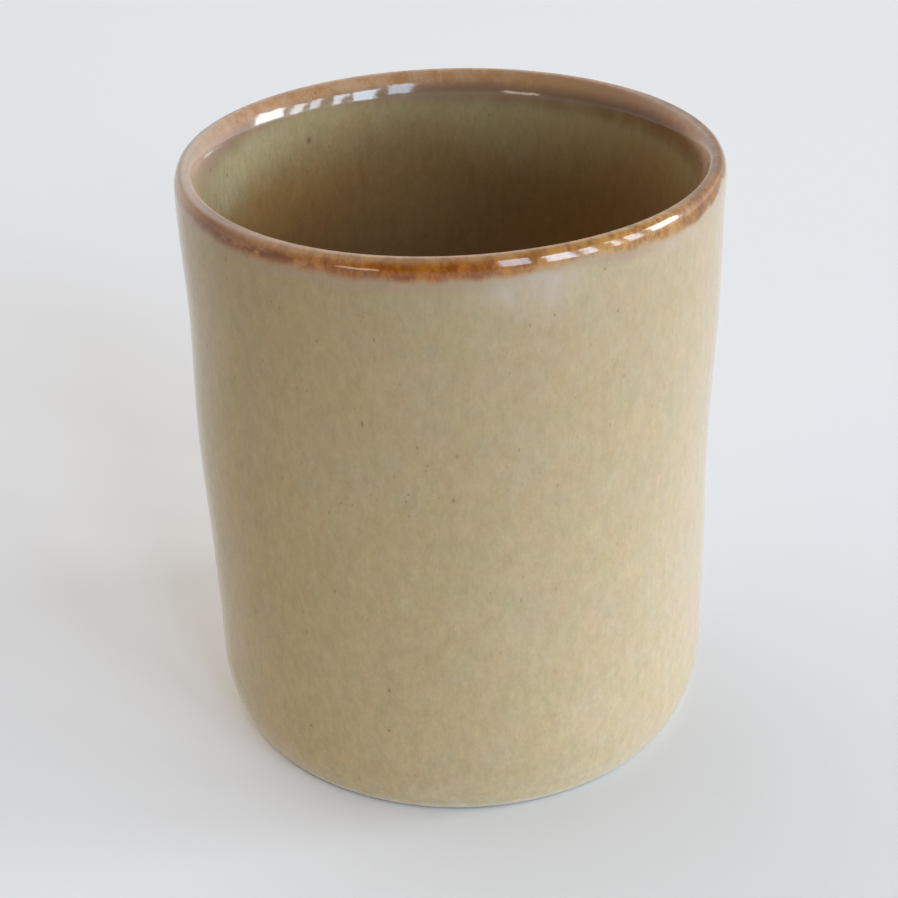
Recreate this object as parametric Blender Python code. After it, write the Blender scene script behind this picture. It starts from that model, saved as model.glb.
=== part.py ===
"""Handle-less stoneware espresso cup: a turned clay body with its fired glaze coats.

The cup is one piece of clay that carries four separate coats of glaze: the liner
inside, the coat on the outside wall, the amber band over the lip that joins the
two, and the patch in the recess under the foot. The bare foot ring keeps the
patch apart from the outside coat. Metres, +Z up, origin at the centre of the
foot on the surface that the cup stands on.
"""

import math

import bmesh
import bpy

MM = 0.001

# Driving dimensions, in millimetres.
HEIGHT = 68.9            # foot plane to the top of the lip
RIM_RADIUS = 30.0        # outside radius at the lip
WALL_FOOT_RADIUS = 29.47 # outside radius where the wall runs into the heel
HEEL_REACH = 2.7         # the rounded heel is a quarter ellipse: its half-axis across
HEEL_RISE = 9.0          # and its half-axis upwards
CREST_RADIUS = 28.82     # radius at which the lip is highest
CREST_ROUND = 0.9        # small round over that crest
SHOULDER_DEG = 30.0      # slope of the normal where the crest meets the outer shoulder
SLOPE_DEG = 40.0         # slope of the normal where the crest meets the inner slope
SLOPE_ROUND = 5.0        # slow round from the crest down into the cup
FLOOR_Z = 5.0            # top of the floor inside the cup
FLOOR_ROUND = 6.0        # fillet between the floor and the wall inside
CAVITY_RADIUS = 25.8     # inside radius where the wall runs into that fillet
GLAZE = 0.40             # thickness of the fired coats
GAP = 0.10               # clearance between touching coats and clay
BAND_DROP = 2.0          # how far the lip band reaches down from the top, on both sides
GLAZE_LINE_DEG = 32.0    # where the outside coat stops on the heel, from straight down
FOOT_OUTER = 26.2        # contact ring of the bare foot
FOOT_INNER = 23.0
FOOT_EASE = 0.35         # eased edges of that ring
RECESS_RADIUS = 22.4     # recess under the foot
RECESS_Z = 1.5
PATCH_RADIUS = 21.8      # glazed patch in the recess
PATCH = 0.30
SEGMENTS = 64            # facets round the axis

SHOULDER_TURN = math.radians(SHOULDER_DEG)
SLOPE_TURN = math.pi - math.radians(SLOPE_DEG)
# The outer shoulder is the round that takes the crest's edge out to the rim's radius.
SHOULDER_ROUND = (RIM_RADIUS - CREST_RADIUS - CREST_ROUND * math.cos(SHOULDER_TURN)) / (
    1 - math.cos(SHOULDER_TURN)
)


def polar(centre, radius, angle):
    return (centre[0] + radius * math.cos(angle), centre[1] + radius * math.sin(angle))


# Centres of the rounds in the cross-section, as (radius, height).
HEEL = (WALL_FOOT_RADIUS - HEEL_REACH, HEEL_RISE)
CREST = (CREST_RADIUS, HEIGHT - CREST_ROUND)
SHOULDER = polar(polar(CREST, CREST_ROUND, SHOULDER_TURN), -SHOULDER_ROUND, SHOULDER_TURN)
SLOPE = polar(polar(CREST, CREST_ROUND, SLOPE_TURN), -SLOPE_ROUND, SLOPE_TURN)
FILLET = (CAVITY_RADIUS - FLOOR_ROUND, FLOOR_Z + FLOOR_ROUND)


def along(point, angle):
    """How far a point lies in the direction of a normal."""
    return point[0] * math.cos(angle) + point[1] * math.sin(angle)


def solve(f, low, high):
    """Root of f between low and high, by bisection."""
    for _ in range(80):
        mid = (low + high) / 2
        if f(low) * f(mid) <= 0:
            high = mid
        else:
            low = mid
    return (low + high) / 2


# Angle of the outside wall's normal: the line touches the heel and the shoulder.
OUT = solve(
    lambda a: along(HEEL, a)
    + math.hypot(HEEL_REACH * math.cos(a), HEEL_RISE * math.sin(a))
    - along(SHOULDER, a)
    - SHOULDER_ROUND,
    -0.3,
    0.3,
)
# Angle of the inside wall's normal, which points into the cavity: the line touches the
# inner slope of the lip and the floor fillet.
IN = solve(
    lambda a: along(SLOPE, a) + SLOPE_ROUND - along(FILLET, a) + FLOOR_ROUND,
    math.pi - 0.3,
    math.pi + 0.3,
)
# Where the lip band stops on the inner slope.
BAND_TURN = math.pi - math.asin((HEIGHT - BAND_DROP - SLOPE[1]) / SLOPE_ROUND)


def swell(centre, across, up, deep, start, end, steps):
    """Points of a bulging elliptical arc between two normals, taken deep below its surface."""
    made = []
    for i in range(steps + 1):
        angle = start + (end - start) * i / steps
        c, s = math.cos(angle), math.sin(angle)
        reach = math.hypot(across * c, up * s)
        made.append(
            (
                centre[0] + across * across * c / reach - deep * c,
                centre[1] + up * up * s / reach - deep * s,
            )
        )
    return made


def heel(deep, start, steps=7):
    return swell(HEEL, HEEL_REACH, HEEL_RISE, deep, start, OUT, steps)


def shoulder(deep, steps=3):
    return swell(SHOULDER, SHOULDER_ROUND, SHOULDER_ROUND, deep, OUT, SHOULDER_TURN, steps)


def crest(deep, steps=6):
    return swell(CREST, CREST_ROUND, CREST_ROUND, deep, SHOULDER_TURN, SLOPE_TURN, steps)


def slope(deep, start, end, steps):
    return swell(SLOPE, SLOPE_ROUND, SLOPE_ROUND, deep, start, end, steps)


def cavity(deep, steps=6):
    """From the inside wall's foot round the hollow fillet to the middle of the floor."""
    turn = math.pi / 2 - IN
    return [
        polar(FILLET, -FLOOR_ROUND - deep, IN + turn * i / steps) for i in range(steps + 1)
    ] + [(0.0, FLOOR_Z - deep)]


def wall_point(z, normal, through, deep):
    """Point of a straight wall whose surface is at height z, taken deep below that surface."""
    t = (z - through[1]) / math.cos(normal)
    return (
        through[0] - t * math.sin(normal) - deep * math.cos(normal),
        z - deep * math.sin(normal),
    )


def outer_wall(z, deep):
    return wall_point(z, OUT, polar(SHOULDER, SHOULDER_ROUND, OUT), deep)


def inner_wall(z, deep):
    return wall_point(z, IN, polar(SLOPE, SLOPE_ROUND, IN), deep)


def material(name, colour, roughness, metallic=0.0):
    made = bpy.data.materials.new(name)
    made.use_nodes = True
    shader = made.node_tree.nodes["Principled BSDF"]
    shader.inputs["Base Color"].default_value = (*colour, 1.0)
    shader.inputs["Roughness"].default_value = roughness
    shader.inputs["Metallic"].default_value = metallic
    made.diffuse_color = (*colour, 1.0)
    return made


def turned(name, outline, finish, parent):
    """Turns a closed (radius, height) outline round the Z axis into one solid object."""
    shape = bmesh.new()
    points = [shape.verts.new((r * MM, 0.0, z * MM)) for r, z in outline]
    edges = [
        shape.edges.new((a, b))
        for a, b in zip(points, points[1:] + points[:1])
        if max(a.co.x, b.co.x) > 1e-7
    ]
    bmesh.ops.spin(
        shape,
        geom=points + edges,
        cent=(0, 0, 0),
        axis=(0, 0, 1),
        angle=2 * math.pi,
        steps=SEGMENTS,
        use_merge=True,
        use_normal_flip=False,
        use_duplicate=False,
    )
    bmesh.ops.remove_doubles(shape, verts=shape.verts, dist=1e-7)
    bmesh.ops.recalc_face_normals(shape, faces=shape.faces)
    if shape.calc_volume(signed=True) < 0:
        bmesh.ops.reverse_faces(shape, faces=shape.faces)
    mesh = bpy.data.meshes.new(name)
    shape.to_mesh(mesh)
    shape.free()
    mesh.shade_smooth()
    mesh.set_sharp_from_angle(angle=math.radians(40))
    mesh.materials.append(finish)
    made = bpy.data.objects.new(name, mesh)
    bpy.context.scene.collection.objects.link(made)
    made.parent = parent
    return made


def band(face):
    """Closed outline of a coat: its outer face, then its inner face back again."""
    return face(0.0) + face(GLAZE)[::-1]


def main():
    for old in list(bpy.data.objects):
        bpy.data.objects.remove(old, do_unlink=True)

    cup = bpy.data.objects.new("cup", None)
    bpy.context.scene.collection.objects.link(cup)

    clay = material("bare_stoneware", (0.46, 0.33, 0.21), 0.85)
    sand = material("sand_glaze", (0.42, 0.35, 0.21), 0.16)
    amber = material("amber_glaze", (0.34, 0.13, 0.03), 0.10)
    liner = material("liner_glaze_finish", (0.33, 0.27, 0.16), 0.14)

    line = -math.pi / 2 + math.radians(GLAZE_LINE_DEG)
    cut = HEIGHT - BAND_DROP
    split = GAP / 2 / SLOPE_ROUND
    deep = GLAZE + GAP

    # Clay: recess, bare foot ring, bevel up to the heel, wall, lip, cavity.
    foot = [
        (0.0, RECESS_Z),
        (RECESS_RADIUS - 0.6, RECESS_Z),
        (RECESS_RADIUS, RECESS_Z - 0.35),
        (FOOT_INNER - 0.15, FOOT_EASE),
        (FOOT_INNER + 0.25, 0.0),
        (FOOT_OUTER - FOOT_EASE, 0.0),
        (FOOT_OUTER + 0.15, 0.14),
    ]
    turned(
        "stoneware_body",
        foot
        + heel(deep, line - math.radians(7.0), 8)
        + [outer_wall(HEIGHT * 0.4, deep)]
        + shoulder(deep)[:-1]
        + crest(deep)[:-1]
        + slope(deep, SLOPE_TURN, IN, 4)
        + [inner_wall(HEIGHT * 0.4, deep)]
        + cavity(deep),
        clay,
        cup,
    )

    # Outside coat, from the glaze line under the heel to the lip band.
    turned(
        "outer_glaze",
        band(
            lambda d: heel(d, line)
            + [outer_wall(HEIGHT * 0.4, d), outer_wall(cut - GAP / 2, d)]
        ),
        sand,
        cup,
    )

    # Band over the lip.
    turned(
        "rim_glaze",
        band(
            lambda d: [outer_wall(cut + GAP / 2, d)]
            + shoulder(d)[1:-1]
            + crest(d, 8)[:-1]
            + slope(d, SLOPE_TURN, BAND_TURN - split, 3)
        ),
        amber,
        cup,
    )

    # Liner, from the lip band down to the middle of the floor.
    turned(
        "liner_glaze",
        band(
            lambda d: slope(d, BAND_TURN + split, IN, 2)
            + [inner_wall(HEIGHT * 0.4, d)]
            + cavity(d)
        ),
        liner,
        cup,
    )

    # Patch in the recess under the foot.
    roof = RECESS_Z - GAP
    turned(
        "base_glaze",
        [
            (0.0, roof),
            (PATCH_RADIUS - 0.25, roof),
            (PATCH_RADIUS, roof - 0.1),
            (PATCH_RADIUS, roof - PATCH + 0.08),
            (PATCH_RADIUS - 0.15, roof - PATCH),
            (0.0, roof - PATCH),
        ],
        sand,
        cup,
    )


main()
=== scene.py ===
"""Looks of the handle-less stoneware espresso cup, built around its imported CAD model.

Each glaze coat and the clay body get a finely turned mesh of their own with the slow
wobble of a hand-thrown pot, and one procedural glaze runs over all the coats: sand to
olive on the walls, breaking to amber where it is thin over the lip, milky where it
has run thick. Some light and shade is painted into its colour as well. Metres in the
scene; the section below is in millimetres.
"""

import math

import bpy
import numpy as np
from mathutils import Matrix, Vector


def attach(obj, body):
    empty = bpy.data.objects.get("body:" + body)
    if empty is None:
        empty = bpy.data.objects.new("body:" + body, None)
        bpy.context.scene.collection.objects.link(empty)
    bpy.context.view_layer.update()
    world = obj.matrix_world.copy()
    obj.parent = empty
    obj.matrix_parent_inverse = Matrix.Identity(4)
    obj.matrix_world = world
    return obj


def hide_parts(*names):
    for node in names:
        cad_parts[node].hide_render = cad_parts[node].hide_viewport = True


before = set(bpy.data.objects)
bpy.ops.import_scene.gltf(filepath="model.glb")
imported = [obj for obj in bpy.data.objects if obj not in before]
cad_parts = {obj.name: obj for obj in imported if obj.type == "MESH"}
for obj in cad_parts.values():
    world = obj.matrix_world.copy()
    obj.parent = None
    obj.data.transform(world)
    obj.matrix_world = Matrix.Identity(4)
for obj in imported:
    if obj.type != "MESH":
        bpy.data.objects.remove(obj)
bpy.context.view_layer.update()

MM = 0.001
TURN = 288  # facets round the axis

# Section of the cup, as the CAD has it.
HEIGHT = 68.9
RIM_RADIUS = 30.0
WALL_FOOT_RADIUS = 29.47
HEEL_REACH, HEEL_RISE = 2.7, 9.0
CREST_RADIUS, CREST_ROUND = 28.82, 0.9
SHOULDER_TURN, SLOPE_TURN = math.radians(30.0), math.radians(140.0)
SLOPE_ROUND = 5.0
FLOOR_Z, FLOOR_ROUND, CAVITY_RADIUS = 5.0, 6.0, 25.8
GLAZE, GAP = 0.40, 0.10
BAND_DROP = 2.0
GLAZE_LINE = math.radians(-58.0)
FOOT_OUTER, FOOT_INNER = 26.2, 23.0
RECESS_RADIUS, RECESS_Z = 22.4, 1.5
PATCH_RADIUS, PATCH = 21.8, 0.30
SHOULDER_ROUND = (RIM_RADIUS - CREST_RADIUS - CREST_ROUND * math.cos(SHOULDER_TURN)) / (
    1 - math.cos(SHOULDER_TURN)
)


def polar(centre, radius, angle):
    return (centre[0] + radius * math.cos(angle), centre[1] + radius * math.sin(angle))


HEEL = (WALL_FOOT_RADIUS - HEEL_REACH, HEEL_RISE)
CREST = (CREST_RADIUS, HEIGHT - CREST_ROUND)
SHOULDER = polar(polar(CREST, CREST_ROUND, SHOULDER_TURN), -SHOULDER_ROUND, SHOULDER_TURN)
SLOPE = polar(polar(CREST, CREST_ROUND, SLOPE_TURN), -SLOPE_ROUND, SLOPE_TURN)
FILLET = (CAVITY_RADIUS - FLOOR_ROUND, FLOOR_Z + FLOOR_ROUND)


def along(point, angle):
    return point[0] * math.cos(angle) + point[1] * math.sin(angle)


def solve(f, low, high):
    for _ in range(80):
        mid = (low + high) / 2
        if f(low) * f(mid) <= 0:
            high = mid
        else:
            low = mid
    return (low + high) / 2


OUT = solve(
    lambda a: along(HEEL, a)
    + math.hypot(HEEL_REACH * math.cos(a), HEEL_RISE * math.sin(a))
    - along(SHOULDER, a)
    - SHOULDER_ROUND,
    -0.3,
    0.3,
)
IN = solve(
    lambda a: along(SLOPE, a) + SLOPE_ROUND - along(FILLET, a) + FLOOR_ROUND,
    math.pi - 0.3,
    math.pi + 0.3,
)
BAND_TURN = math.pi - math.asin((HEIGHT - BAND_DROP - SLOPE[1]) / SLOPE_ROUND)


def swell(centre, across, up, start, end, steps, deep=0.0):
    """Points of a bulging elliptical arc between two normals, taken deep below its surface."""
    made = []
    for i in range(steps + 1):
        angle = start + (end - start) * i / steps
        c, s = math.cos(angle), math.sin(angle)
        reach = math.hypot(across * c, up * s)
        made.append(
            (
                centre[0] + across * across * c / reach - deep * c,
                centre[1] + up * up * s / reach - deep * s,
            )
        )
    return made


def line(a, b, steps):
    return [
        (a[0] + (b[0] - a[0]) * i / steps, a[1] + (b[1] - a[1]) * i / steps)
        for i in range(steps + 1)
    ]


def joined(*runs):
    """One run of points from several that meet end to end, with each corner once."""
    made = list(runs[0])
    for run in runs[1:]:
        made += run[1:]
    return made


def smooth(low, high, x):
    t = np.clip((x - low) / (high - low), 0.0, 1.0)
    return t * t * (3 - 2 * t)


def bump(z, centre, width):
    return np.exp(-(((z - centre) / width) ** 2))


def wobble(p):
    """The slow wander of a pot thrown and handled wet, in millimetres. The foot stays true."""
    x, y, z = p[..., 0], p[..., 1], p[..., 2]
    turn = np.arctan2(y, x)
    reach = np.hypot(x, y) / RIM_RADIUS
    free = smooth(2.0, 14.0, z)
    shift_x = (
        0.10 * bump(z, 69, 4)
        + 0.19 * bump(z, 53, 8)
        - 0.28 * bump(z, 35, 10)
    )
    shift_y = 0.14 * bump(z, 50, 11) - 0.12 * bump(z, 24, 9)
    swollen = (
        0.04 * bump(z, 38, 8)
        - 0.14 * bump(z, 28, 16)
        - 0.08 * bump(z, 13, 6)
        - 0.05 * bump(z, 52, 8)
        + 0.06 * np.cos(2 * turn + 0.7) * bump(z, 52, 22)
        + 0.05 * np.cos(3 * turn + 2.1) * bump(z, 30, 20)
        + 0.035 * np.cos(5 * turn + 0.4 + 0.06 * z)
    )
    rise = smooth(40.0, HEIGHT, z) * 0.11 * np.sin(2 * turn) * (np.sin(turn) - 1)
    out = np.empty_like(p)
    out[..., 0] = x + free * (shift_x + swollen * reach * np.cos(turn))
    out[..., 1] = y + free * (shift_y + swollen * reach * np.sin(turn))
    out[..., 2] = z + rise
    return out


def turned(section):
    """Warped grid of points, rows along the section and columns round the axis, with normals."""
    section = np.array(section)
    angle = np.arange(TURN) * (2 * math.pi / TURN)
    r, z = section[:, 0][:, None], section[:, 1][:, None]
    grid = wobble(
        np.stack([r * np.cos(angle), r * np.sin(angle), z + 0 * angle], axis=-1)
    )
    down = np.gradient(grid, axis=0)
    step = np.linalg.norm(np.diff(grid, axis=0), axis=-1)
    if len(section) > 2:  # uneven rows: weigh the two sides by the row spacing
        a, b = step[:-1][..., None], step[1:][..., None]
        d0, d1 = (grid[1:-1] - grid[:-2]) / a, (grid[2:] - grid[1:-1]) / b
        down[1:-1] = (d0 * b + d1 * a) / (a + b)
    across = np.roll(grid, -1, axis=1) - np.roll(grid, 1, axis=1)
    normal = np.cross(across, down)
    size = np.linalg.norm(normal, axis=-1, keepdims=True)
    normal = normal / np.maximum(size, 1e-12)
    pole = section[:, 0] < 1e-6
    normal[pole] = (0, 0, 1)
    return grid, normal


def shell(name, front, front_normal, back, back_normal):
    """Closed mesh from a front grid and a back grid whose first and last rows are capped.

    Its map lays the front out as one wide strip, with narrow strips below it for the hidden
    back and the two caps.
    """
    verts, index = [], []
    for grid in (front, back):
        rows = []
        for row in grid:
            if np.abs(row[:, :2]).max() < 0.02 and np.ptp(row[:, 0]) < 1e-6:
                rows.append([len(verts)] * TURN)
                verts.append(row[0])
            else:
                rows.append(list(range(len(verts), len(verts) + TURN)))
                verts.extend(row)
        index.append(rows)
    faces, corner, spread = [], [], []

    def quad(ids, normals, places):
        keep = [i for i in range(4) if ids[i] != ids[i - 1]]
        if len(keep) < 3:
            return
        faces.append([ids[i] for i in keep])
        corner.extend(normals[i] for i in keep)
        spread.extend(places[i] for i in keep)

    def heights(grid, low, high):
        run = np.linalg.norm(np.diff(grid[:, 0], axis=0), axis=-1)
        return low + (high - low) * np.concatenate([[0.0], np.cumsum(run)]) / run.sum()

    f, b = index
    sides = ((f, front_normal, heights(front, 0.18, 0.998), 1), (b, -back_normal, heights(back, 0.045, 0.13), -1))
    for rows, normal, v, way in sides:
        for i in range(len(rows) - 1):
            for j in range(TURN):
                k = (j + 1) % TURN
                spots = ((i, j, j), (i, k, j + 1), (i + 1, k, j + 1), (i + 1, j, j))[::way]
                quad(
                    [rows[r][c] for r, c, _ in spots],
                    [normal[r, c] for r, c, _ in spots],
                    [(u / TURN, v[r]) for r, _, u in spots],
                )
    for end, low, high in ((0, 0.145, 0.165), (-1, 0.005, 0.03)):
        for j in range(TURN):
            k = (j + 1) % TURN
            ids = (f[end][k], f[end][j], b[end][j], b[end][k])
            places = [((j + 1) / TURN, high), (j / TURN, high), (j / TURN, low), ((j + 1) / TURN, low)]
            if end == -1:
                ids, places = ids[::-1], places[::-1]
            a, c, d = (np.array(verts[v]) for v in (ids[0], ids[1], ids[3]))
            n = np.cross(c - a, d - a)
            n = n / max(np.linalg.norm(n), 1e-12)
            quad(ids, (n, n, n, n), places)
    mesh = bpy.data.meshes.new(name)
    mesh.from_pydata([tuple(v * MM for v in p) for p in verts], [], faces)
    mesh.shade_smooth()
    mesh.normals_split_custom_set([tuple(n) for n in corner])
    layout = mesh.uv_layers.new(name="OFBake")
    layout.data.foreach_set("uv", np.array(spread, np.float32).ravel())
    mesh.update()
    made = bpy.data.objects.new(name, mesh)
    bpy.context.scene.collection.objects.link(made)
    return made


def coat(name, grid, normal, first, last):
    """A glaze coat: its face on the section and its back one coat's thickness below."""
    face, face_normal = grid[first : last + 1], normal[first : last + 1]
    pick = sorted(set(range(0, len(face), 4)) | {len(face) - 1})
    back = face[pick] - GLAZE * face_normal[pick]
    return shell(name, face, face_normal, back, face_normal[pick])


# The whole glazed face, from the glaze line under the heel over the lip to the cup's floor.
wall_low = swell(HEEL, HEEL_REACH, HEEL_RISE, OUT, OUT, 1)[0]
wall_high = polar(SHOULDER, SHOULDER_ROUND, OUT)
in_high, in_low = polar(SLOPE, SLOPE_ROUND, IN), polar(FILLET, -FLOOR_ROUND, IN)
hollow = [
    polar(FILLET, -FLOOR_ROUND, IN + (math.pi / 2 - IN) * i / 18) for i in range(19)
]
run_outer = joined(
    swell(HEEL, HEEL_REACH, HEEL_RISE, GLAZE_LINE, OUT, 34), line(wall_low, wall_high, 66)
)
run_rim = joined(
    swell(SHOULDER, SHOULDER_ROUND, SHOULDER_ROUND, OUT, SHOULDER_TURN, 12),
    swell(CREST, CREST_ROUND, CREST_ROUND, SHOULDER_TURN, SLOPE_TURN, 16),
    swell(SLOPE, SLOPE_ROUND, SLOPE_ROUND, SLOPE_TURN, BAND_TURN, 10),
)
run_liner = joined(
    swell(SLOPE, SLOPE_ROUND, SLOPE_ROUND, BAND_TURN, IN, 10),
    line(in_high, in_low, 46),
    hollow,
    line(hollow[-1], (0.0, FLOOR_Z), 14),
)
face = joined(run_outer, run_rim, run_liner)
face_grid, face_normal = turned(face)
cut_a = len(run_outer) - 1
cut_b = cut_a + len(run_rim) - 1

outer = coat("glaze_outside", face_grid, face_normal, 0, cut_a)
rim = coat("glaze_lip_band", face_grid, face_normal, cut_a, cut_b)
liner = coat("glaze_liner", face_grid, face_normal, cut_b, len(face) - 1)

# The clay: the same face one coat and its gap below, closed by the bare foot.
DEEP = GLAZE + GAP
pick = list(range(0, len(face), 3))
if pick[-1] != len(face) - 1:
    pick.append(len(face) - 1)
under = face_grid[pick] - DEEP * face_normal[pick]
under_normal = face_normal[pick]
heel_end = swell(HEEL, HEEL_REACH, HEEL_RISE, GLAZE_LINE, GLAZE_LINE - math.radians(7.0), 6, DEEP)
foot_run = joined(
    heel_end,
    [heel_end[-1], (FOOT_OUTER + 0.15, 0.14)],
    swell((FOOT_OUTER - 0.20, 0.30), 0.30, 0.30, math.radians(-35), math.radians(-90), 5),
    line((FOOT_OUTER - 0.20, 0.0), (FOOT_INNER + 0.30, 0.0), 4),
    swell((FOOT_INNER + 0.30, 0.35), 0.35, 0.35, math.radians(-90), math.radians(-160), 5),
    line(polar((FOOT_INNER + 0.30, 0.35), 0.35, math.radians(-160)), (RECESS_RADIUS, RECESS_Z - 0.40), 3),
    [
        polar((RECESS_RADIUS - 0.40, RECESS_Z - 0.40), 0.40, math.radians(9 * i))
        for i in range(11)
    ],
    line((RECESS_RADIUS - 0.40, RECESS_Z), (0.0, RECESS_Z), 10),
)
foot_grid, foot_normal = turned(foot_run)
foot_normal = -foot_normal
foot_normal[-1] = (0, 0, -1)
body = shell("clay_body", under, under_normal, foot_grid, foot_normal)

# Patch of glaze in the recess, thicker towards its edge where it has drawn up.
roof = RECESS_Z - GAP
patch_low = joined(
    [(0.0, roof - 0.22), (7.0, roof - 0.22), (14.0, roof - 0.23), (19.0, roof - 0.26)],
    swell((PATCH_RADIUS - 0.20, roof - PATCH + 0.18), 0.18, 0.18, math.radians(-90), 0, 6),
)
patch_low = joined(patch_low, [patch_low[-1], (PATCH_RADIUS - 0.02, roof - 0.05)])
patch_top = [(PATCH_RADIUS - 0.05, roof), (10.0, roof), (0.0, roof)]
low_grid, low_normal = turned(patch_low)
top_grid, top_normal = turned(patch_top)
base = shell("glaze_base_patch", low_grid, low_normal, top_grid[::-1], -top_normal[::-1])


# ---------------------------------------------------------------- materials


class Nodes:
    """Small helper that wires shader nodes by arithmetic, over millimetres in the cup's frame."""

    def __init__(self, name):
        self.material = bpy.data.materials.new(name)
        self.material.use_nodes = True
        self.tree = self.material.node_tree
        self.shader = self.tree.nodes["Principled BSDF"]
        self.place = self.vector("SCALE", self.add("ShaderNodeTexCoord").outputs["Object"], scale=1000.0)

    def add(self, kind, inputs=None, **settings):
        node = self.tree.nodes.new(kind)
        for key, value in settings.items():
            setattr(node, key, value)
        for key, value in (inputs or {}).items():
            self.put(node.inputs[key], value)
        return node

    def put(self, socket, value):
        if isinstance(value, bpy.types.NodeSocket):
            self.tree.links.new(value, socket)
        else:
            socket.default_value = value

    def math(self, operation, *values):
        node = self.add("ShaderNodeMath", operation=operation)
        for i, value in enumerate(values):
            self.put(node.inputs[i], value)
        return node.outputs[0]

    def product(self, *values):
        made = values[0]
        for value in values[1:]:
            made = self.math("MULTIPLY", made, value)
        return made

    def vector(self, operation, *values, scale=None):
        node = self.add("ShaderNodeVectorMath", operation=operation)
        for i, value in enumerate(values):
            self.put(node.inputs[i], value)
        if scale is not None:
            node.inputs["Scale"].default_value = scale
        return node.outputs["Value" if operation in ("LENGTH", "DISTANCE", "DOT_PRODUCT") else "Vector"]

    def step(self, value, low, high, kind="SMOOTHSTEP"):
        """A value's way from low, where it gives 0, to high, where it gives 1."""
        node = self.add("ShaderNodeMapRange", interpolation_type=kind)
        self.put(node.inputs["Value"], value)
        self.put(node.inputs["From Min"], low)
        self.put(node.inputs["From Max"], high)
        return node.outputs["Result"]

    def hill(self, value, centre, width):
        """1 at the centre, falling smoothly to 0 one width away on both sides."""
        away = self.math("ABSOLUTE", self.math("SUBTRACT", value, centre))
        return self.step(away, width, 0.0)

    def blend(self, factor, a, b):
        node = self.add("ShaderNodeMix", data_type="FLOAT")
        for i, value in ((0, factor), (2, a), (3, b)):
            self.put(node.inputs[i], value)
        return node.outputs[0]

    def mix(self, factor, a, b, kind="MIX"):
        node = self.add("ShaderNodeMix", data_type="RGBA", blend_type=kind)
        self.put(node.inputs["Factor"], factor)
        for socket, value in zip((s for s in node.inputs if s.type == "RGBA"), (a, b)):
            self.put(socket, value if isinstance(value, bpy.types.NodeSocket) else (*value, 1.0))
        return next(s for s in node.outputs if s.type == "RGBA")

    def noise(self, scale, detail=2.0, rough=0.5, stretch=(1, 1, 1), offset=(0, 0, 0), colour=False):
        """Noise round 0.5; scale is features per millimetre. With colour, three separate ones."""
        spot = self.vector("MULTIPLY", self.place, tuple(s * scale for s in stretch))
        spot = self.vector("ADD", spot, offset)
        node = self.add("ShaderNodeTexNoise", {"Scale": 1.0, "Detail": detail, "Roughness": rough})
        self.put(node.inputs["Vector"], spot)
        if not colour:
            return node.outputs["Fac"]
        return self.add("ShaderNodeSeparateColor", {0: node.outputs["Color"]}).outputs[:3]

    def specks(self, scale, size, amount, offset=(0, 0, 0), tall=1.0):
        """Dots of about size millimetres in a share of the cells, 1 inside and 0 outside."""
        spot = self.vector("ADD", self.vector("MULTIPLY", self.place, (scale, scale, scale / tall)), offset)
        cell = self.add("ShaderNodeTexVoronoi", {"Scale": 1.0, "Randomness": 1.0}, feature="F1")
        self.put(cell.inputs["Vector"], spot)
        pick = self.add("ShaderNodeSeparateColor", {0: cell.outputs["Color"]})
        chosen = self.math("GREATER_THAN", pick.outputs[0], 1.0 - amount)
        radius = self.math("MULTIPLY_ADD", pick.outputs[1], 0.7 * size * scale, 0.4 * size * scale)
        near = self.math("DIVIDE", cell.outputs["Distance"], radius)
        return self.math("MULTIPLY", self.step(near, 1.45, 0.25), chosen)

    def fleck(self, spot, size, tall=1.0):
        """One speck at a point of the cup, drawn out upwards."""
        away = self.vector("MULTIPLY", self.vector("SUBTRACT", self.place, spot), (1, 1, 1 / tall))
        return self.step(self.vector("LENGTH", away), 1.6 * size, 0.2 * size)

    def tint(self, colour, *tones):
        """A colour with a tone of its own on each channel."""
        red, green, blue = tones if len(tones) == 3 else tones * 3
        return self.mix(1.0, colour, self.add("ShaderNodeCombineColor", {0: red, 1: green, 2: blue}).outputs[0], "MULTIPLY")


# The ground's colour low and high on the wall and on its two sides, and in the well.
# The side and height spread is partly painted light: paler and bluer on the +X side that
# faces the window light, darker and browner on the shaded side, and paler low down from a
# painted floor bounce. The well darkens deeper down, partly the liner's own browner tone
# and partly painted shade.
LOW_LEFT, LOW_RIGHT = (0.382, 0.276, 0.112), (0.533, 0.412, 0.255)
HIGH_LEFT, HIGH_RIGHT = (0.281, 0.198, 0.072), (0.405, 0.302, 0.176)
WELL_TOP, WELL_DEEP = (0.312, 0.240, 0.121), (0.246, 0.140, 0.053)
GRAIN, CLOUD, HUE = 0.56, 0.10, 0.21  # contrast of the mottling

# Larger iron specks: place on the cup in millimetres, half width, how far drawn out upwards.
FLECKS = (
    ((-9.5, -28.1, 50.6), 0.17, 2.2),
    ((0.0, -29.7, 47.4), 0.18, 1.4),
    ((-0.5, -29.7, 42.3), 0.16, 1.8),
    ((-11.5, -27.5, 41.6), 0.15, 1.0),
    ((-19.0, -23.0, 30.1), 0.16, 1.2),
    ((4.1, -29.4, 23.0), 0.13, 1.0),
    ((-8.1, -28.4, 17.7), 0.17, 1.5),
    ((-8.4, -28.2, 12.1), 0.14, 1.2),
    ((9.9, -28.3, 62.2), 0.14, 1.0),
    ((16.4, -25.2, 61.0), 0.15, 1.0),
    ((14.9, -26.1, 66.0), 0.12, 1.0),
    ((-16.7, 21.0, 63.0), 0.34, 1.3),
)


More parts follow.
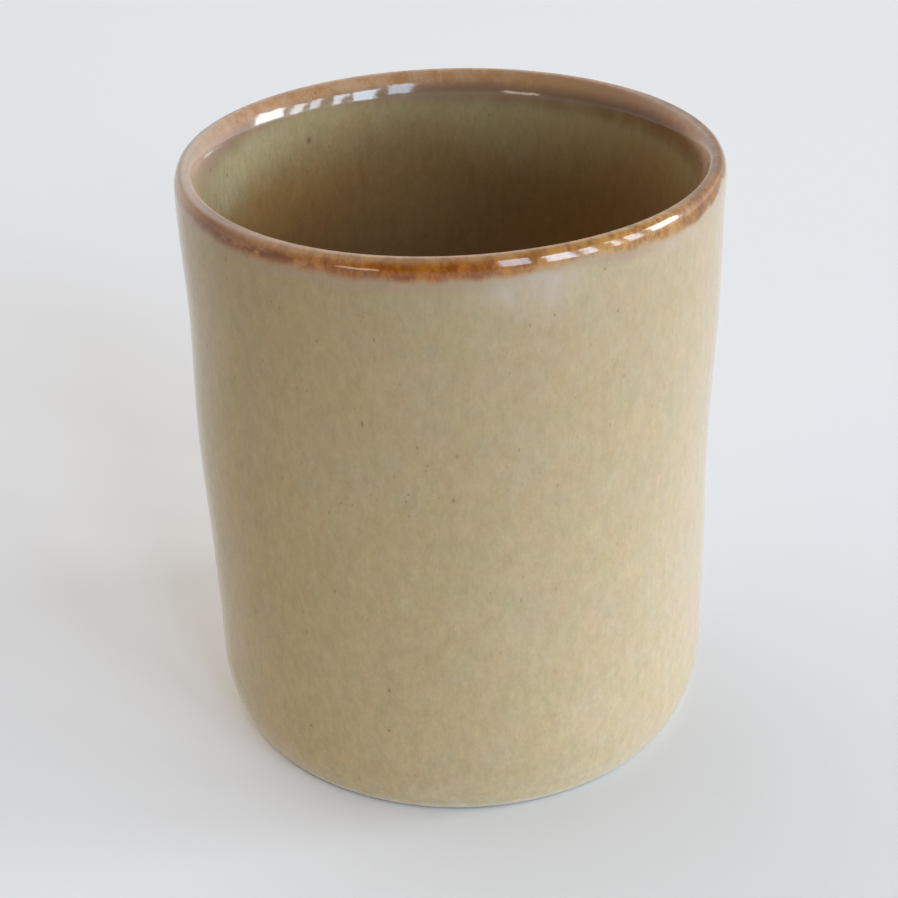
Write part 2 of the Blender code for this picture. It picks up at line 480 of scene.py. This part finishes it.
def glaze(name):
    """The cup's one glaze: sand to olive, amber over the lip, darker and browner in the well, with painted light and
    shade in its colour.
    """
    n = Nodes(name)
    x, y, z = n.add("ShaderNodeSeparateXYZ", {0: n.place}).outputs
    reach = n.math("SQRT", n.math("ADD", n.math("MULTIPLY", x, x), n.math("MULTIPLY", y, y)))
    turn = n.math("ARCTAN2", y, x)
    drop = n.math("SUBTRACT", HEIGHT, z)
    inside = n.math("MULTIPLY", n.step(reach, CREST_RADIUS + 0.2, CREST_RADIUS - 0.6), n.step(z, 3.0, 3.5))

    # Ground: paler low down, partly where the coat has run thick and partly painted light
    # from the floor's bounce; paler and bluer to the +X side, which faces the window light,
    # and darker and browner to the other, in painted light and shade.
    wander = n.noise(0.035, 1.0, 0.5, (1, 1, 1), (3.1, 7.7, 1.3), colour=True)
    high = n.step(n.math("MULTIPLY_ADD", wander[0], 16.0, n.math("SUBTRACT", z, 8.0)), 0.0, 70.0, "LINEAR")
    side = n.step(n.math("MULTIPLY_ADD", wander[1], 16.0, n.math("SUBTRACT", x, 8.0)), -30.0, 30.0, "LINEAR")
    low_colour = n.mix(side, LOW_LEFT, LOW_RIGHT)
    high_colour = n.mix(side, HIGH_LEFT, HIGH_RIGHT)
    ground = n.mix(high, low_colour, high_colour)
    # Paler over the lowest 7 mm and palest at the foot's edge: glaze pooled thick there, with painted light against
    # the shade where the heel turns under and a painted reflection of the table along the foot.
    ground = n.mix(n.math("MULTIPLY", n.step(z, 7.0, 0.0), 0.30), ground, (0.640, 0.540, 0.360))
    ground = n.mix(n.math("MULTIPLY", n.step(z, 1.8, 0.3), 0.60), ground, (0.760, 0.690, 0.540))
    sunk = n.math("MULTIPLY_ADD", wander[2], 14.0, n.math("SUBTRACT", drop, 7.0))
    # The well darkens deeper down: the liner's own browner tone with painted shade over it.
    well = n.mix(n.step(sunk, 2.5, 14.0), WELL_TOP, WELL_DEEP)
    # Paler over the upper left wall of the well: a painted pool of the window light that falls there.
    painted_light_patch = n.math("MULTIPLY", n.step(x, -14.0, -27.0), n.step(sunk, 11.0, 4.0))
    well = n.mix(painted_light_patch, well, (0.340, 0.268, 0.145))
    # Browner patches low on the far left wall and high on the far right wall: the glaze's own rust mottle, darkened
    # as painted shade where these walls lie in shade.
    rust_and_shade = n.math("MULTIPLY", n.hill(turn, math.radians(137), math.radians(36)), n.step(sunk, 8.0, 14.0))
    well = n.mix(n.math("MULTIPLY", rust_and_shade, 0.8), well, (0.265, 0.132, 0.042))
    rust_and_shade = n.math("MULTIPLY", n.hill(turn, math.radians(38), math.radians(38)), n.step(sunk, 2.0, 9.0))
    well = n.mix(n.math("MULTIPLY", rust_and_shade, 0.7), well, (0.262, 0.148, 0.060))
    well = n.mix(n.math("MULTIPLY", n.step(sunk, 13.0, 30.0), 0.8), well, (0.395, 0.228, 0.092))
    ground = n.mix(inside, ground, well)

    # Mottling: soft tan, pink and green clouds, and a fine grain drawn out upwards.
    cloud = n.noise(0.16, 2.0, 0.75, (1, 1, 0.8), (11.0, 2.0, 5.0), colour=True)
    grain = n.noise(0.85, 3.0, 0.92, (1, 1, 0.50), (0.5, 9.0, 4.0))
    tinge = n.noise(0.40, 3.0, 0.85, (1, 1, 1), (6.0, 2.0, 8.0), colour=True)
    coarse = n.math("MULTIPLY_ADD", side, -0.5 * GRAIN, 1.25 * GRAIN)
    shade = n.math("MULTIPLY_ADD", n.math("SUBTRACT", cloud[0], 0.5), CLOUD, n.math("MULTIPLY", n.math("SUBTRACT", grain, 0.5), coarse))
    light = n.math("ADD", shade, 1.0)
    red = n.math("MULTIPLY_ADD", shade, 0.85, n.math("MULTIPLY_ADD", tinge[0], HUE, n.math("MULTIPLY", cloud[1], 0.6 * HUE)))
    red = n.math("ADD", red, 1.0 - 0.8 * HUE)
    blue = n.math("MULTIPLY_ADD", shade, 1.3, n.math("MULTIPLY_ADD", tinge[1], 1.4 * HUE, n.math("MULTIPLY", cloud[2], 0.8 * HUE)))
    blue = n.math("ADD", blue, 1.0 - 1.1 * HUE)
    ground = n.tint(ground, red, light, blue)

    # Milky haze under the lip, in soft clouds and thickest over one stretch.
    haze = n.step(n.noise(0.24, 3.0, 0.6, (1, 1, 0.6), (4.0, 13.0, 2.0)), 0.26, 0.70)
    under = n.math("MULTIPLY", n.step(drop, 8.5, 2.4), n.step(drop, 1.5, 2.4))
    bank = n.math("MULTIPLY_ADD", n.hill(turn, math.radians(-74), math.radians(18)), 0.66, 0.02)
    bank = n.math("MULTIPLY_ADD", n.product(n.hill(turn, math.radians(-42), math.radians(30)), n.step(drop, 4.5, 2.6)), 0.24, bank)
    haze = n.product(haze, under, bank, n.math("SUBTRACT", 1.0, inside))
    ground = n.mix(haze, ground, (0.480, 0.418, 0.370))

    # Amber where the glaze is thin over the lip: deepest on the outer shoulder, tan over the
    # crest, brown and soon fading inside. Its lower edge is ragged and runs into drips.
    left, right = n.step(x, -23.5, -29.5), n.step(x, 22.0, 28.0)
    ragged = n.noise(0.40, 3.0, 0.65, (1, 1, 0.35), (8.0, 3.0, 1.0))
    runs = n.step(n.noise(0.34, 2.0, 0.5, (1, 1, 0.12), (2.0, 6.0, 4.0)), 0.36, 0.62)
    runs = n.math("MULTIPLY", runs, n.math("MULTIPLY_ADD", n.hill(turn, math.radians(-30), math.radians(13)), 0.40, 0.12))
    fall = n.math("SUBTRACT", n.math("MULTIPLY_ADD", ragged, 1.2, n.math("SUBTRACT", drop, 0.60)), runs)
    fall = n.math("MULTIPLY_ADD", n.hill(turn, math.radians(-62), math.radians(30)), 0.60, fall)
    fall = n.math("MULTIPLY_ADD", n.step(x, 26.8, 28.8), 0.95, fall)
    fall = n.math("MULTIPLY_ADD", n.hill(turn, math.radians(-25), math.radians(12)), 0.35, fall)
    fall = n.math("MULTIPLY_ADD", n.hill(turn, math.radians(-67), math.radians(14)), 0.35, fall)
    sink = n.math("MULTIPLY_ADD", n.hill(turn, math.radians(128), math.radians(40)), 1.1, fall)
    thin = n.blend(inside, n.step(fall, n.math("MULTIPLY_ADD", right, -0.45, 2.5), 1.5), n.step(sink, 4.6, 1.8))
    rust = n.noise(0.46, 4.0, 0.75, (1, 1, 0.6), (1.0, 5.0, 9.0))
    deep = n.mix(n.step(rust, 0.38, 0.62), (0.208, 0.049, 0.004), (0.375, 0.125, 0.013))
    tan = n.mix(n.step(rust, 0.38, 0.60), (0.295, 0.138, 0.052), (0.390, 0.218, 0.098))
    rich = n.math("MULTIPLY_ADD", n.hill(turn, math.radians(-97), math.radians(44)), 0.78, 0.20)
    shoulder = n.step(n.math("MULTIPLY_ADD", rust, 0.8, n.math("SUBTRACT", fall, 0.4)), -0.1, 0.7)
    tan = n.mix(n.math("MULTIPLY", n.hill(turn, math.radians(-144), math.radians(26)), 0.85), tan, (0.175, 0.068, 0.014))
    amber = n.mix(n.math("MULTIPLY", rich, shoulder), tan, deep)
    gold = n.hill(turn, math.radians(-50), math.radians(36))
    ochre = n.mix(n.step(rust, 0.36, 0.58), (0.250, 0.090, 0.013), (0.430, 0.224, 0.058))
    amber = n.mix(n.math("MULTIPLY", gold, 0.85), amber, ochre)
    honey = n.mix(n.step(rust, 0.38, 0.60), (0.160, 0.050, 0.003), (0.240, 0.098, 0.010))
    amber = n.mix(n.math("MULTIPLY", n.step(x, 21.0, 26.5), 0.88), amber, honey)
    crown = n.mix(n.step(rust, 0.36, 0.64), (0.345, 0.170, 0.072), (0.430, 0.252, 0.145))
    # Towards the far right the crest and the lip's inside turn a darker brown: partly the glaze's own rust tone,
    # partly painted shade where that stretch of the inside is shaded.
    crown = n.mix(n.math("MULTIPLY", n.hill(turn, math.radians(52), math.radians(42)), 0.8), crown, (0.325, 0.150, 0.052))
    crown = n.mix(n.math("MULTIPLY", n.hill(turn, math.radians(42), math.radians(38)), 0.85), crown, (0.215, 0.085, 0.018))
    # Pale pinkish grey over the crest at the right end: a painted reflection of the bright surroundings on the lip.
    crown = n.mix(n.math("MULTIPLY", n.hill(turn, math.radians(-4), math.radians(24)), 0.75), crown, (0.410, 0.285, 0.210))
    crown = n.mix(n.math("MULTIPLY", n.hill(turn, math.radians(-95), math.radians(75)), 0.55), crown, (0.200, 0.100, 0.045))
    # Below the crown, darker towards the far right: painted shade over the glaze's brown.
    sienna = n.mix(n.hill(turn, math.radians(32), math.radians(42)), (0.218, 0.126, 0.078), (0.135, 0.062, 0.022))
    crown = n.mix(n.step(n.math("MULTIPLY_ADD", ragged, 0.8, n.math("SUBTRACT", drop, 0.4)), 0.7, 2.0), crown, sienna)
    amber = n.mix(n.step(reach, CREST_RADIUS, CREST_RADIUS - 0.7), amber, crown)
    # Pale pinkish tan over the left of the lip: a painted reflection of the bright light behind the cup over its
    # amber.
    amber = n.mix(n.math("MULTIPLY", left, 0.8), amber, (0.415, 0.300, 0.215))
    blush = n.product(n.hill(fall, 2.5, 1.4), n.math("SUBTRACT", 1.0, inside))
    warm = n.math("MULTIPLY_ADD", n.hill(turn, math.radians(-108), math.radians(50)), 0.42, 0.14)
    warm = n.math("MULTIPLY_ADD", n.hill(turn, math.radians(-56), math.radians(14)), 0.50, warm)
    blush = n.math("MULTIPLY", blush, warm)
    ground = n.mix(blush, ground, (0.320, 0.200, 0.138))
    colour = n.mix(thin, ground, amber)
    dots = n.step(n.noise(0.42, 3.0, 0.6, (1, 1, 1.7), (6.0, 6.0, 2.0)), 0.40, 0.53)
    brink = n.math("MULTIPLY", n.hill(fall, 1.22, 0.82), n.math("SUBTRACT", 1.0, inside))
    stretch = n.math("MULTIPLY_ADD", n.hill(turn, math.radians(-131), math.radians(35)), 0.95, 0.12)
    colour = n.mix(n.product(dots, brink, stretch), colour, (0.150, 0.044, 0.003))

    # Iron specks: fine pepper, a few larger ones with a rusty halo, and pale pinholes.
    pepper = n.specks(0.85, 0.15, 0.45, (2.3, 0.4, 7.1), 1.7)
    dense = n.math("MULTIPLY_ADD", n.math("MULTIPLY", high, n.math("SUBTRACT", 1.0, side)), 0.75, 0.20)
    spots = n.specks(0.17, 0.26, 0.25, (0.7, 3.3, 5.9))
    holes = n.specks(0.30, 0.13, 0.30, (5.2, 1.7, 0.6))
    marks = halo = None
    for spot, size, tall in FLECKS:
        mark, ring = n.fleck(spot, size, tall), n.fleck(spot, 2.6 * size, tall)
        marks = mark if marks is None else n.math("MAXIMUM", marks, mark)
        halo = ring if halo is None else n.math("MAXIMUM", halo, ring)
    colour = n.mix(n.math("MULTIPLY", halo, 0.20), colour, (0.32, 0.17, 0.08))
    colour = n.mix(n.math("MULTIPLY", pepper, dense), colour, (0.16, 0.10, 0.05))
    colour = n.mix(n.math("MULTIPLY", holes, 0.18), colour, (0.56, 0.49, 0.36))
    colour = n.mix(n.math("MULTIPLY", n.math("MAXIMUM", marks, spots), 0.62), colour, (0.10, 0.060, 0.030))
    n.put(n.shader.inputs["Base Color"], colour)

    # Gloss: a fired surface, faintly uneven and more so over the lip, with a dimple at each pinhole.
    n.put(n.shader.inputs["Roughness"], n.math("MULTIPLY_ADD", cloud[0], 0.06, 0.06))
    n.shader.inputs["IOR"].default_value = 1.55
    relief = n.math("MULTIPLY_ADD", grain, 0.06, n.noise(0.35, 2.0, 0.5))
    relief = n.math("MULTIPLY_ADD", n.noise(1.1, 1.0, 0.5, (1, 1, 1), (2.0, 8.0, 5.0)), 0.07, relief)
    relief = n.math("MULTIPLY", relief, n.math("MULTIPLY_ADD", n.step(drop, 5.0, 3.0), 0.9, 1.0))
    relief = n.math("MULTIPLY_ADD", holes, -0.35, relief)
    bumped = n.add("ShaderNodeBump", {"Strength": 0.12, "Distance": 0.0002, "Height": relief})
    n.put(n.shader.inputs["Normal"], bumped.outputs["Normal"])
    return n.material


def clay(name):
    """Bare buff stoneware: sandy, toasted in patches, with grog and iron specks."""
    n = Nodes(name)
    broad = n.noise(0.12, 3.0, 0.55)
    sand = n.noise(2.4, 4.0, 0.65, (1, 1, 1), (5.0, 1.0, 3.0))
    ground = n.mix(n.step(broad, 0.35, 0.65), (0.47, 0.33, 0.20), (0.40, 0.26, 0.15))
    ground = n.tint(ground, n.math("MULTIPLY_ADD", sand, 0.5, 0.75))
    grog = n.specks(0.9, 0.22, 0.35, (1.0, 2.0, 3.0))
    iron = n.specks(0.45, 0.20, 0.30, (4.0, 1.0, 6.0))
    ground = n.mix(n.math("MULTIPLY", grog, 0.5), ground, (0.60, 0.48, 0.34))
    ground = n.mix(n.math("MULTIPLY", iron, 0.8), ground, (0.11, 0.06, 0.03))
    n.put(n.shader.inputs["Base Color"], ground)
    n.put(n.shader.inputs["Roughness"], n.math("MULTIPLY_ADD", sand, 0.2, 0.72))
    relief = n.math("MULTIPLY_ADD", grog, 0.6, sand)
    bumped = n.add("ShaderNodeBump", {"Strength": 0.5, "Distance": 0.0002, "Height": relief})
    n.put(n.shader.inputs["Normal"], bumped.outputs["Normal"])
    return n.material


def table_top(name):
    """Plain pale board with a barely uneven tone."""
    n = Nodes(name)
    tone = n.noise(0.006, 3.0, 0.5)
    n.put(n.shader.inputs["Base Color"], n.mix(tone, (0.780, 0.761, 0.766), (0.800, 0.781, 0.786)))
    n.shader.inputs["Roughness"].default_value = 0.7
    n.shader.inputs["Specular IOR Level"].default_value = 0.0
    return n.material


sand_glaze = glaze("sand_glaze_look")
amber_glaze = glaze("amber_glaze_look")
liner_look = glaze("liner_glaze_look")
clay_look = clay("bare_stoneware_look")

for piece, look, node, slot in (
    (outer, sand_glaze, "outer_glaze", "sand_glaze"),
    (rim, amber_glaze, "rim_glaze", "amber_glaze"),
    (liner, liner_look, "liner_glaze", "liner_glaze"),
    (body, clay_look, "stoneware_body", "bare_stoneware"),
    (base, sand_glaze, "base_glaze", "sand_glaze"),
):
    piece.data.materials.append(look)
    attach(piece, "root")
    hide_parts(node)


# ---------------------------------------------------------------- table, light and camera

bpy.ops.mesh.primitive_circle_add(vertices=96, radius=3.0, fill_type="NGON", location=(0, 0, -0.00002))
floor = bpy.context.object
floor.name = "table"
floor.data.materials.append(table_top("table_look"))

# Soft light from all round: broad glows, each at an azimuth (0 is +X) and elevation.
GLOWS = (
    (-30, 8, (0.25, 0.08, 0.00)),
    (0, 8, (1.60, 1.56, 1.36)),
    (30, 8, (1.12, 0.94, 0.98)),
    (90, 8, (0.35, 0.40, 0.45)),
    (172, 10, (0.32, 0.32, 0.33)),
    (54, 38, (0.70, 0.76, 0.74)),
    (90, 38, (0.88, 0.93, 0.97)),
    (126, 38, (1.95, 1.95, 1.95)),
    (162, 38, (0.95, 0.84, 0.84)),
    (198, 38, (0.98, 0.87, 0.66)),
    (234, 38, (0.16, 0.12, 0.00)),
    (126, 68, (0.09, 0.14, 0.17)),
    (198, 68, (0.50, 0.52, 0.50)),
)


def toward(azimuth, elevation):
    a, e = math.radians(azimuth), math.radians(elevation)
    return Vector((math.cos(a) * math.cos(e), math.sin(a) * math.cos(e), math.sin(e)))


def studio(glows, backdrop):
    """World light of broad glows over a pale horizon; the camera sees a plain backdrop past the table."""
    world = bpy.data.worlds.new("studio")
    bpy.context.scene.world = world
    world.use_nodes = True
    tree = world.node_tree
    lit, output = tree.nodes["Background"], tree.nodes["World Output"]

    def node(kind, *inputs, **settings):
        made = tree.nodes.new(kind)
        for key, value in settings.items():
            setattr(made, key, value)
        for i, value in enumerate(inputs):
            if isinstance(value, bpy.types.NodeSocket):
                tree.links.new(value, made.inputs[i])
            elif value is not None:
                made.inputs[i].default_value = value
        return made

    way = node("ShaderNodeVectorMath", node("ShaderNodeTexCoord").outputs["Generated"], operation="NORMALIZE").outputs[0]
    height = node("ShaderNodeSeparateXYZ", way).outputs["Z"]
    low = node("ShaderNodeMapRange", height, 0.24, 0.0, interpolation_type="SMOOTHSTEP").outputs["Result"]
    haze = node("ShaderNodeVectorMath", (0.60, 0.60, 0.61), operation="SCALE")
    tree.links.new(low, haze.inputs["Scale"])
    total = haze.outputs[0]
    for azimuth, elevation, colour in glows:
        facing = node("ShaderNodeVectorMath", way, tuple(toward(azimuth, elevation)), operation="DOT_PRODUCT").outputs["Value"]
        facing = node("ShaderNodeMath", facing, 0.0, operation="MAXIMUM").outputs[0]
        facing = node("ShaderNodeMath", facing, 12.0, operation="POWER").outputs[0]
        glow = node("ShaderNodeVectorMath", colour, operation="SCALE")
        tree.links.new(facing, glow.inputs["Scale"])
        glow = glow.outputs[0]
        total = node("ShaderNodeVectorMath", total, glow, operation="ADD").outputs[0]
    tree.links.new(total, lit.inputs["Color"])
    plain = node("ShaderNodeBackground", (*backdrop, 1.0))
    path = node("ShaderNodeLightPath").outputs["Is Camera Ray"]
    both = node("ShaderNodeMixShader", path, lit.outputs[0], plain.outputs[0])
    tree.links.new(both.outputs[0], output.inputs["Surface"])


studio(GLOWS, (0.76, 0.77, 0.79))

AIM = Vector((0.0, 0.0, 0.06))
AWAY = 5.0


def panel(name, azimuth, elevation, wide, tall, radiance, colour=(1, 1, 1)):
    """A soft panel seen from the cup at an azimuth (0 is +X) and elevation, sized in degrees."""
    way = toward(azimuth, elevation)
    lamp = bpy.data.lights.new(name, "AREA")
    lamp.shape = "RECTANGLE"
    lamp.size = 2 * AWAY * math.tan(math.radians(wide / 2))
    lamp.size_y = 2 * AWAY * math.tan(math.radians(tall / 2))
    lamp.energy = radiance * math.pi * lamp.size * lamp.size_y
    lamp.color = colour
    made = bpy.data.objects.new(name, lamp)
    bpy.context.scene.collection.objects.link(made)
    made.location = AIM + way * AWAY
    made.rotation_mode = "QUATERNION"
    made.rotation_quaternion = (-way).to_track_quat("-Z", "Y")
    made.visible_camera = False
    return made


panel("pane_1", -66.5, 24, 10.5, 26, 9.3, (0.62, 0.785, 1.0))
panel("pane_2", -48.0, 17, 11.5, 24, 14.0, (0.63, 0.81, 1.0))
panel("pane_3", -35.6, 16, 5.5, 22, 12.5, (0.69, 0.85, 1.0))
panel("pane_4", -22.8, 16, 4.0, 21, 10.3, (0.75, 0.89, 1.0))
panel("pane_5", -14.0, 14.5, 6.5, 19, 11.2, (0.74, 0.875, 1.0))
panel("pane_6", 3.5, 15, 17.0, 18, 15.0, (0.80, 0.90, 1.0))
panel("pane_7", -126.0, 10, 16.0, 6.5, 5.5, (1.0, 0.88, 0.70))

camera_data = bpy.data.cameras.new("camera")
camera = bpy.data.objects.new("camera", camera_data)
bpy.context.scene.collection.objects.link(camera)
camera_data.sensor_width = 36.0
camera_data.lens = 1869.9 * 36.0 / 898.0
pan, tilt, roll = math.radians(0.277), math.radians(29.264), math.radians(-1.716)
swing = Matrix.Rotation(pan, 3, "Z")
ahead = swing @ Vector((0.0, math.cos(tilt), -math.sin(tilt)))
right = swing @ Vector((1.0, 0.0, 0.0))
up = right.cross(ahead)
right, up = (
    right * math.cos(roll) + up * math.sin(roll),
    up * math.cos(roll) - right * math.sin(roll),
)
facing = Matrix((right, up, -ahead)).transposed().to_4x4()
camera.matrix_world = Matrix.Translation((0.0, -0.19333, 0.14009)) @ facing
bpy.context.scene.camera = camera
bpy.context.scene.view_settings.view_transform = "Standard"

bpy.context.view_layer.update()
